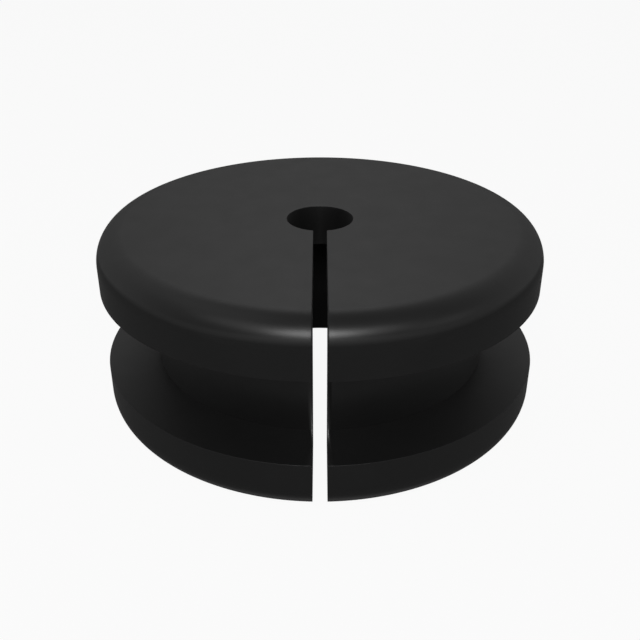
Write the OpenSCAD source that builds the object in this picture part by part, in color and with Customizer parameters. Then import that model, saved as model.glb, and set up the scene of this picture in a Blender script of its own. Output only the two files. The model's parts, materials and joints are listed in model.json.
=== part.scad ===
// Split rubber cable grommet, moulded in one piece.
// Two equal flanges hold it in a panel, and the neck between them fills the panel's hole.
// The cable passes through a bore in the web across the top, above an open hollow.
// A slit from the bore to the rim lets a cable in from the side.
// The origin is on the bore's axis at the bottom face, +Z points up the bore and -Y towards the slit.
// All sizes are in millimetres.

/* [Flanges] */
// Outer diameter of both flanges
flange_d = 50; // [42:0.5:80]
// Thickness of each flange
flange_t = 6; // [4:0.25:12]
// Radius of the round on each flange's outer rim
rim_r = 3; // [0.5:0.25:5]

/* [Neck] */
// Diameter of the neck, a light squeeze in the panel's hole
neck_d = 38.3; // [30:0.1:44]
// Gap between the flanges, which is the panel's thickness
groove_w = 9.5; // [2:0.25:20]

/* [Cable passage] */
// Diameter of the bore that holds the cable
bore_d = 7.5; // [3:0.25:20]
// Thickness of the web that the bore goes through
web_t = 4.75; // [2:0.25:14]
// Diameter of the open hollow under the web
hollow_d = 26.4; // [14:0.2:34]

/* [Slit] */
// Width of the slit from the bore to the rim
slit_w = 1.5; // [0.5:0.25:3]

/* [Hidden] */
$fn = 180;
// How far each cut runs past the face that it opens through
overrun = 1;
flange_r = flange_d / 2;
height = groove_w + 2 * flange_t;
web_bottom_z = height - web_t;

// What rounding takes off a square corner whose round is centred at the origin
module corner_waste(r) {
    difference() {
        square([r + overrun, r + overrun]);
        circle(r = r);
    }
}

// Half section of a flange, with its flat groove face at zero and its rounded face above
module flange_section() {
    difference() {
        square([flange_r, flange_t]);
        translate([flange_r - rim_r, flange_t - rim_r]) corner_waste(rim_r);
    }
}

// Half section of the whole moulding before anything is cut through it
module outer_section() {
    square([neck_d / 2, height]);
    translate([0, height - flange_t]) flange_section();
    translate([0, flange_t]) mirror([0, 1]) flange_section();
}

// The hole through the web that a cable passes through
module cable_bore() {
    translate([0, 0, web_bottom_z - overrun]) cylinder(h = web_t + 2 * overrun, d = bore_d);
}

// The wide round hollow from the bottom face up to the web
module hollow() {
    translate([0, 0, -overrun]) cylinder(h = web_bottom_z + overrun, d = hollow_d);
}

// The full-height cut from the bore's axis out through the rim
module slit() {
    slit_l = flange_r + overrun;
    translate([-slit_w / 2, -slit_l, -overrun]) cube([slit_w, slit_l, height + 2 * overrun]);
}

module grommet() {
    color([0.1, 0.1, 0.1]) difference() {
        rotate_extrude() outer_section();
        cable_bore();
        hollow();
        slit();
    }
}

grommet();
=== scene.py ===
"""Split rubber cable grommet: the moulding in its finish, with the studio that shows it."""

import json
import math

import bmesh
import bpy
from bpy.props import FloatProperty, FloatVectorProperty, IntProperty, PointerProperty
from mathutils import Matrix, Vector


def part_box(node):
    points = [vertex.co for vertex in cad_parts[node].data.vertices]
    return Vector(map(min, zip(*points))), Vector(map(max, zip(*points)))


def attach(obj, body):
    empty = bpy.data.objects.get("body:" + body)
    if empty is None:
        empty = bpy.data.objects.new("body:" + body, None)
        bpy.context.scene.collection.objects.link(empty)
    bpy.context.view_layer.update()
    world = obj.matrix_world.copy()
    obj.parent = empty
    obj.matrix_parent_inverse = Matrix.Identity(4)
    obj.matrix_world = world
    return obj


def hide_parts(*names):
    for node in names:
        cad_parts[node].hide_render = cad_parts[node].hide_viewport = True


bl_info = {
    "name": "Split Cable Grommet",
    "version": (1, 0, 0),
    "blender": (4, 5, 0),
    "location": "View3D > Sidebar > Grommet",
    "description": "Builds a split rubber cable grommet and the studio that shows it",
    "category": "Add Mesh",
}

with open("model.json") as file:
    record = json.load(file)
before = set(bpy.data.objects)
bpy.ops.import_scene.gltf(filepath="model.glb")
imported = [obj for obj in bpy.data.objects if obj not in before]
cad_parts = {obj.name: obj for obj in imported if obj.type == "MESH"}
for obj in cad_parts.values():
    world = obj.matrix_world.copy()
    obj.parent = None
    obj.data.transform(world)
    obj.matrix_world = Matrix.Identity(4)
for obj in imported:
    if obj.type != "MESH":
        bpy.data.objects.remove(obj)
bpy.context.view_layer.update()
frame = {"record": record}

MM = 0.001
NODE = "grommet"
MOUNTS = {mount["name"]: mount for mount in frame["record"]["mounts"]}
BORE = MOUNTS["cable_bore"]["dims"]
LOW, HIGH = (Vector(corner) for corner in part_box(NODE))

SHARP_TURN = 40  # degrees between two faces, past which their edge is a corner
LAMP_DISTANCE = 0.5
CAMERA_LENS = 47.5
CAMERA_PLACE = (0, -89.47 * MM, 56.72 * MM)
CAMERA_TARGET = (0, 0, 8.4 * MM)


# ---------------------------------------------------------------- settings


class GrommetSizes(bpy.types.PropertyGroup):
    """Sizes of the moulding"""

    height: FloatProperty(
        name="Height",
        description="Height from the bottom face to the web's face",
        default=HIGH.z - LOW.z,
        unit="LENGTH",
    )
    flange_radius: FloatProperty(
        name="Flange radius",
        description="Outer radius of both flanges",
        default=(HIGH.x - LOW.x) / 2,
        unit="LENGTH",
    )
    flange_thickness: FloatProperty(
        name="Flange thickness",
        description="Thickness of each flange",
        default=6 * MM,
        unit="LENGTH",
    )
    rim_round: FloatProperty(
        name="Rim round",
        description="Radius of the round on each flange's outer rim",
        default=3 * MM,
        unit="LENGTH",
    )
    neck_radius: FloatProperty(
        name="Neck radius",
        description="Radius of the neck between the flanges",
        default=19.15 * MM,
        unit="LENGTH",
    )
    bore_radius: FloatProperty(
        name="Bore radius",
        description="Radius of the hole that the cable passes through",
        default=BORE["r_mm"] * MM,
        unit="LENGTH",
    )
    web_thickness: FloatProperty(
        name="Web thickness",
        description="Thickness of the web round the bore",
        default=BORE["length_mm"] * MM,
        unit="LENGTH",
    )
    hollow_radius: FloatProperty(
        name="Hollow radius",
        description="Radius of the open hollow under the web",
        default=13.2 * MM,
        unit="LENGTH",
    )
    slit_width: FloatProperty(
        name="Slit width",
        description="Width of the slit from the bore to the rim",
        default=1.5 * MM,
        unit="LENGTH",
    )
    edge_round: FloatProperty(
        name="Edge round",
        description="Radius that the mould leaves on every sharp outward edge",
        default=0.03 * MM,
        unit="LENGTH",
    )
    steps_around: IntProperty(
        name="Steps around",
        description="Mesh steps around the moulding",
        default=256,
        min=24,
    )
    steps_in_round: IntProperty(
        name="Steps in the rim round",
        description="Mesh steps across each flange's rim round",
        default=20,
        min=3,
    )


class GrommetRubber(bpy.types.PropertyGroup):
    """Finish of the moulded rubber"""

    colour: FloatVectorProperty(
        name="Colour",
        description="Colour of the rubber",
        default=(0.003, 0.003, 0.003),
        subtype="COLOR",
        min=0,
        max=1,
    )
    mottle: FloatProperty(
        name="Mottle",
        description="How much lighter and darker the colour runs in patches",
        default=0.12,
        subtype="FACTOR",
    )
    mottle_size: FloatProperty(
        name="Mottle size",
        description="Size of the patches that the colour runs in",
        default=6 * MM,
        unit="LENGTH",
    )
    sheen_level: FloatProperty(
        name="Shine",
        description="How strongly the surface shines, as the shader's specular level",
        default=0.12,
        subtype="FACTOR",
    )
    roughness: FloatProperty(
        name="Roughness",
        description="Roughness of the satin surface",
        default=0.32,
        subtype="FACTOR",
    )
    grazing_roughness: FloatProperty(
        name="Grazing roughness",
        description="Roughness where the surface turns away from sight",
        default=0.88,
        subtype="FACTOR",
    )
    wall_roughness: FloatProperty(
        name="Wall roughness",
        description="Roughness of the flanges' and the hollow's walls, which the mould leaves matt",
        default=0.95,
        subtype="FACTOR",
    )
    roughness_run: FloatProperty(
        name="Roughness run",
        description="How far the roughness runs up and down over the surface",
        default=0.03,
        subtype="FACTOR",
    )
    run_size: FloatProperty(
        name="Roughness run size",
        description="Size of the patches that the roughness runs in",
        default=2.5 * MM,
        unit="LENGTH",
    )
    grain_size: FloatProperty(
        name="Grain size",
        description="Size of the fine grain that the mould leaves",
        default=0.25 * MM,
        unit="LENGTH",
    )
    grain_depth: FloatProperty(
        name="Grain depth",
        description="Depth of the fine grain",
        default=0.003 * MM,
        unit="LENGTH",
    )


class GrommetStudio(bpy.types.PropertyGroup):
    """The floor and the light"""

    floor_radius: FloatProperty(
        name="Floor radius",
        description="Radius of the round floor",
        default=1.5,
        unit="LENGTH",
    )
    floor_steps: IntProperty(
        name="Floor steps",
        description="Straight steps round the floor's edge",
        default=96,
        min=24,
    )
    floor_colour: FloatVectorProperty(
        name="Floor colour",
        description="Colour of the floor where it's lit",
        default=(0.3, 0.3, 0.3),
        subtype="COLOR",
        min=0,
        max=1,
    )
    white: FloatProperty(
        name="White",
        description="Share of plain white seen in the floor and backdrop, also in reflections",
        default=0.93,
        subtype="FACTOR",
    )
    ambient: FloatProperty(
        name="Ambient light",
        description="Brightness of the soft light that comes from all round",
        default=0.02,
    )


# ---------------------------------------------------------------- the moulding


def quarter_round(centre, radius, start, steps):
    """Points of a quarter turn, clockwise from the start angle, about a centre in the section."""
    turns = (start - math.pi / 2 * step / steps for step in range(steps + 1))
    return [(centre[0] + radius * math.cos(a), centre[1] + radius * math.sin(a)) for a in turns]


def section_outline(sizes):
    """The moulding's half section as (radius, height) points, clockwise from the bore's top edge."""
    top = sizes.height
    rim = sizes.flange_radius
    rounding = sizes.rim_round
    groove_top = top - sizes.flange_thickness
    groove_bottom = sizes.flange_thickness
    web_bottom = top - sizes.web_thickness
    steps = sizes.steps_in_round
    outline = [(sizes.bore_radius, top)]
    outline += quarter_round((rim - rounding, top - rounding), rounding, math.pi / 2, steps)
    outline += [(rim, groove_top), (sizes.neck_radius, groove_top)]
    outline += [(sizes.neck_radius, groove_bottom), (rim, groove_bottom)]
    outline += quarter_round((rim - rounding, rounding), rounding, 0, steps)
    outline += [(sizes.hollow_radius, 0), (sizes.hollow_radius, web_bottom)]
    outline += [(sizes.bore_radius, web_bottom)]
    return outline


def ring_points(radius, height, slit_width, steps):
    """Points around the axis from one face of the slit to the other, both faces parallel to +Y."""
    half_gap = math.asin(slit_width / 2 / radius)
    start = half_gap - math.pi / 2
    turn = 2 * (math.pi - half_gap)
    angles = (start + turn * step / steps for step in range(steps + 1))
    return [(radius * math.cos(a), radius * math.sin(a), height) for a in angles]


def mark_edges(mesh):
    """Gives each edge that stands outward a full bevel weight, and marks each inward corner sharp."""
    weight = mesh.edges.layers.float.new("bevel_weight_edge")
    for edge in mesh.edges:
        turn = math.degrees(edge.calc_face_angle_signed(0))
        edge[weight] = 1.0 if turn > SHARP_TURN else 0.0
        edge.smooth = turn > -SHARP_TURN


def moulding_mesh(sizes):
    """The closed mesh of the moulding: its section swept around the axis, with both slit faces."""
    mesh = bmesh.new()
    rings = []
    for radius, height in section_outline(sizes):
        points = ring_points(radius, height, sizes.slit_width, sizes.steps_around)
        rings.append([mesh.verts.new(point) for point in points])
    for ring, following in zip(rings, rings[1:] + rings[:1]):
        for step in range(sizes.steps_around):
            corners = (ring[step], ring[step + 1], following[step + 1], following[step])
            mesh.faces.new(corners)
    mesh.faces.new([ring[0] for ring in rings])
    mesh.faces.new([ring[-1] for ring in reversed(rings)])
    bmesh.ops.recalc_face_normals(mesh, faces=mesh.faces)
    mark_edges(mesh)
    data = bpy.data.meshes.new("grommet_moulding")
    mesh.to_mesh(data)
    mesh.free()
    data.shade_smooth()
    return data


def soften_edges(piece, radius):
    """Rounds every outward edge a little, and keeps the flat faces flat in their shading."""
    bevel = piece.modifiers.new("edge round", "BEVEL")
    bevel.width = radius
    bevel.segments = 3
    bevel.limit_method = "WEIGHT"
    bevel.use_clamp_overlap = False
    shading = piece.modifiers.new("even shading", "WEIGHTED_NORMAL")
    shading.mode = "FACE_AREA"
    shading.weight = 100
    shading.keep_sharp = True


class Nodes:
    """Adds nodes to a material or world and links them."""

    def __init__(self, owner):
        owner.use_nodes = True
        self.tree = owner.node_tree

    def add(self, kind, **settings):
        node = self.tree.nodes.new(kind)
        for name, value in settings.items():
            setattr(node, name, value)
        return node

    def link(self, output, target):
        self.tree.links.new(output, target)

    def maths(self, operation, *values):
        """A Math node of the given operation on numbers and outputs; gives its output."""
        node = self.add("ShaderNodeMath", operation=operation)
        for socket, value in zip(node.inputs, values):
            if isinstance(value, bpy.types.NodeSocket):
                self.link(value, socket)
            else:
                socket.default_value = value
        return node.outputs["Value"]

    def parts(self, name):
        """X, Y and Z of the place or the normal in the object's own frame."""
        split = self.add("ShaderNodeSeparateXYZ")
        self.link(self.add("ShaderNodeTexCoord").outputs[name], split.inputs["Vector"])
        return list(split.outputs)

    def from_axis(self):
        """Distance from the object's own upright axis."""
        across, along, _ = self.parts("Object")
        squares = (self.maths("POWER", part, 2) for part in (across, along))
        return self.maths("SQRT", self.maths("ADD", *squares))

    def noise(self, size, detail, roughness=0.5):
        """Noise whose patches are about the given size across, in the object's own frame; 0 to 1."""
        place = self.add("ShaderNodeTexCoord").outputs["Object"]
        node = self.add("ShaderNodeTexNoise")
        node.inputs["Scale"].default_value = 1 / size
        node.inputs["Detail"].default_value = detail
        node.inputs["Roughness"].default_value = roughness
        self.link(place, node.inputs["Vector"])
        return node.outputs["Fac"]

    def spread(self, value, low, high, start=0, end=1):
        """Runs a value from start to end to one from low to high."""
        node = self.add("ShaderNodeMapRange")
        node.inputs["From Min"].default_value = start
        node.inputs["From Max"].default_value = end
        node.inputs["To Min"].default_value = low
        node.inputs["To Max"].default_value = high
        self.link(value, node.inputs["Value"])
        return node.outputs["Result"]

    def looked_at(self):
        """1 for a ray of sight, a reflection or a view through glass, and 0 for light's own rays."""
        ray = self.add("ShaderNodeLightPath")
        seen = self.maths("MAXIMUM", ray.outputs["Is Camera Ray"], ray.outputs["Is Glossy Ray"])
        return self.maths("MAXIMUM", seen, ray.outputs["Is Transmission Ray"])


def rubber_colour(nodes, rubber):
    """The rubber's colour, which runs a little lighter and darker in patches."""
    patches = nodes.noise(rubber.mottle_size, detail=3)
    colour = nodes.add("ShaderNodeMix", data_type="RGBA")
    colour.inputs["A"].default_value = (*(c * (1 - rubber.mottle) for c in rubber.colour), 1)
    colour.inputs["B"].default_value = (*(c * (1 + rubber.mottle) for c in rubber.colour), 1)
    nodes.link(patches, colour.inputs["Factor"])
    return colour.outputs["Result"]


def wall_matt(nodes, rubber, sizes):
    """What the roughness gains on the upright walls of the flanges and of the hollow."""
    radius = nodes.from_axis()
    outer = nodes.maths("GREATER_THAN", radius, sizes.flange_radius - 0.15 * sizes.rim_round)
    inner = nodes.maths("COMPARE", radius, sizes.hollow_radius, 0.1 * MM)
    level = nodes.maths("ABSOLUTE", nodes.parts("Normal")[2])
    gain = rubber.wall_roughness - rubber.roughness
    upright = nodes.spread(level, gain, 0, start=0.2, end=0.45)
    return nodes.maths("MULTIPLY", upright, nodes.maths("MAXIMUM", outer, inner))


def rubber_roughness(nodes, rubber, sizes):
    """Satin that runs in small patches, is matt on the walls and rises where sight grazes it."""
    run = nodes.noise(rubber.run_size, detail=4)
    low = rubber.roughness - rubber.roughness_run
    high = rubber.roughness + rubber.roughness_run
    satin = nodes.spread(run, low, high)
    facing = nodes.add("ShaderNodeLayerWeight").outputs["Facing"]
    gain = rubber.grazing_roughness - rubber.roughness
    grazing = nodes.spread(facing, 0, gain, start=0.2, end=0.9)
    added = nodes.maths("ADD", grazing, wall_matt(nodes, rubber, sizes))
    return nodes.maths("ADD", satin, added)


def rubber_grain(nodes, rubber):
    """The fine grain of the mould, as bump."""
    grain = nodes.noise(rubber.grain_size, detail=2, roughness=0.6)
    bump = nodes.add("ShaderNodeBump")
    bump.inputs["Distance"].default_value = rubber.grain_depth
    nodes.link(grain, bump.inputs["Height"])
    return bump.outputs["Normal"]


def rubber_material(rubber, sizes):
    """Black rubber as it leaves the mould: satin, with matt walls, a faint mottle and a fine grain."""
    material = bpy.data.materials.new("moulded_black_rubber")
    nodes = Nodes(material)
    shader = nodes.tree.nodes["Principled BSDF"]
    shader.inputs["Specular IOR Level"].default_value = rubber.sheen_level
    nodes.link(rubber_colour(nodes, rubber), shader.inputs["Base Color"])
    nodes.link(rubber_roughness(nodes, rubber, sizes), shader.inputs["Roughness"])
    nodes.link(rubber_grain(nodes, rubber), shader.inputs["Normal"])
    return material


class GROMMET_OT_moulding(bpy.types.Operator):
    """Build the grommet's one-piece rubber moulding in place of its plain solid"""

    bl_idname = "grommet.moulding"
    bl_label = "Moulding"

    def execute(self, context):
        sizes = context.scene.grommet_sizes
        piece = bpy.data.objects.new("grommet_moulding", moulding_mesh(sizes))
        context.scene.collection.objects.link(piece)
        soften_edges(piece, sizes.edge_round)
        piece.data.materials.append(rubber_material(context.scene.grommet_rubber, sizes))
        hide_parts(NODE)
        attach(piece, "root")
        return {"FINISHED"}


# ---------------------------------------------------------------- the studio


def aim(thing, place, target):
    """Puts a lamp or the camera at a place and turns it to face the target."""
    thing.location = place
    thing.rotation_euler = (Vector(target) - Vector(place)).to_track_quat("-Z", "Y").to_euler()


def make_camera(context):
    data = bpy.data.cameras.new("camera")
    data.lens = CAMERA_LENS
    data.clip_start = MM
    camera = bpy.data.objects.new("camera", data)
    context.scene.collection.objects.link(camera)
    aim(camera, CAMERA_PLACE, CAMERA_TARGET)
    context.scene.camera = camera


def floor_material(studio):
    """Pale floor, lit and shaded as any surface under a share of white that is only looked at."""
    material = bpy.data.materials.new("pale_floor")
    nodes = Nodes(material)
    shader = nodes.tree.nodes["Principled BSDF"]
    shader.inputs["Base Color"].default_value = (*studio.floor_colour, 1)
    shader.inputs["Roughness"].default_value = 1
    shader.inputs["Specular IOR Level"].default_value = 0
    white = nodes.add("ShaderNodeEmission")
    share = nodes.maths("MULTIPLY", nodes.looked_at(), studio.white)
    mix = nodes.add("ShaderNodeMixShader")
    nodes.link(share, mix.inputs["Fac"])
    nodes.link(shader.outputs["BSDF"], mix.inputs[1])
    nodes.link(white.outputs["Emission"], mix.inputs[2])
    nodes.link(mix.outputs["Shader"], nodes.tree.nodes["Material Output"].inputs["Surface"])
    return material


def make_floor(context, studio):
    mesh = bmesh.new()
    bmesh.ops.create_circle(mesh, cap_ends=True, segments=studio.floor_steps, radius=studio.floor_radius)
    data = bpy.data.meshes.new("floor")
    mesh.to_mesh(data)
    mesh.free()
    floor = bpy.data.objects.new("floor", data)
    floor.location.z = LOW.z
    data.materials.append(floor_material(studio))
    context.scene.collection.objects.link(floor)


def make_surroundings(context, studio):
    """The backdrop as the world: a little even light, and the floor's white where it's looked at."""
    world = bpy.data.worlds.new("studio_surroundings")
    nodes = Nodes(world)
    backdrop = nodes.tree.nodes["Background"]
    backdrop.inputs["Color"].default_value = (1, 1, 1, 1)
    level = nodes.spread(nodes.looked_at(), studio.ambient, studio.white)
    nodes.link(level, backdrop.inputs["Strength"])
    context.scene.world = world


def make_softbox(context, name, azimuth, elevation, width, height, level):
    """A soft lamp that faces the grommet; azimuth runs from -Y towards +X, level is its brightness."""
    data = bpy.data.lights.new(name, "AREA")
    data.shape = "ELLIPSE"
    data.size = width
    data.size_y = height
    data.energy = level * width * height * math.pi ** 2 / 4
    lamp = bpy.data.objects.new(name, data)
    turn = math.radians(azimuth)
    rise = math.radians(elevation)
    middle = (LOW + HIGH) / 2
    way = Vector((math.sin(turn) * math.cos(rise), -math.cos(turn) * math.cos(rise), math.sin(rise)))
    aim(lamp, middle + way * LAMP_DISTANCE, middle)
    lamp.visible_camera = False
    context.scene.collection.objects.link(lamp)


class GROMMET_OT_stage(bpy.types.Operator):
    """Build the floor, the lamps and the camera"""

    bl_idname = "grommet.stage"
    bl_label = "Stage"

    def execute(self, context):
        studio = context.scene.grommet_studio
        make_camera(context)
        make_floor(context, studio)
        make_surroundings(context, studio)
        make_softbox(context, "key_lamp", azimuth=-2, elevation=38.5, width=0.28, height=0.18, level=27.5)
        make_softbox(context, "left_fill", azimuth=-38, elevation=46, width=0.44, height=0.2, level=2.2)
        make_softbox(context, "right_fill", azimuth=26, elevation=41, width=0.26, height=0.18, level=3.4)
        make_softbox(context, "back_panel", azimuth=180, elevation=35, width=0.18, height=0.34, level=2.4)
        make_softbox(context, "right_panel", azimuth=62, elevation=24, width=0.3, height=0.16, level=1.4)
        make_softbox(context, "left_high_panel", azimuth=-95, elevation=62, width=0.4, height=0.3, level=0.9)
        context.scene.view_settings.view_transform = "Standard"
        return {"FINISHED"}


class GROMMET_PT_sidebar(bpy.types.Panel):
    """Lists the steps and the settings"""

    bl_idname = "GROMMET_PT_sidebar"
    bl_label = "Split Cable Grommet"
    bl_space_type = "VIEW_3D"
    bl_region_type = "UI"
    bl_category = "Grommet"

    def draw(self, context):
        scene = context.scene
        steps = self.layout.column(align=True)
        steps.operator(GROMMET_OT_moulding.bl_idname)
        steps.operator(GROMMET_OT_stage.bl_idname)
        for group in (scene.grommet_sizes, scene.grommet_rubber, scene.grommet_studio):
            box = self.layout.box()
            for name in group.bl_rna.properties.keys():
                if name not in ("rna_type", "name"):
                    box.prop(group, name)


CLASSES = (
    GrommetSizes,
    GrommetRubber,
    GrommetStudio,
    GROMMET_OT_moulding,
    GROMMET_OT_stage,
    GROMMET_PT_sidebar,
)


def register():
    for item in CLASSES:
        bpy.utils.register_class(item)
    bpy.types.Scene.grommet_sizes = PointerProperty(type=GrommetSizes)
    bpy.types.Scene.grommet_rubber = PointerProperty(type=GrommetRubber)
    bpy.types.Scene.grommet_studio = PointerProperty(type=GrommetStudio)


def unregister():
    del bpy.types.Scene.grommet_studio
    del bpy.types.Scene.grommet_rubber
    del bpy.types.Scene.grommet_sizes
    for item in reversed(CLASSES):
        bpy.utils.unregister_class(item)


def main():
    register()
    bpy.ops.grommet.moulding()
    bpy.ops.grommet.stage()


if __name__ == "__main__":
    main()
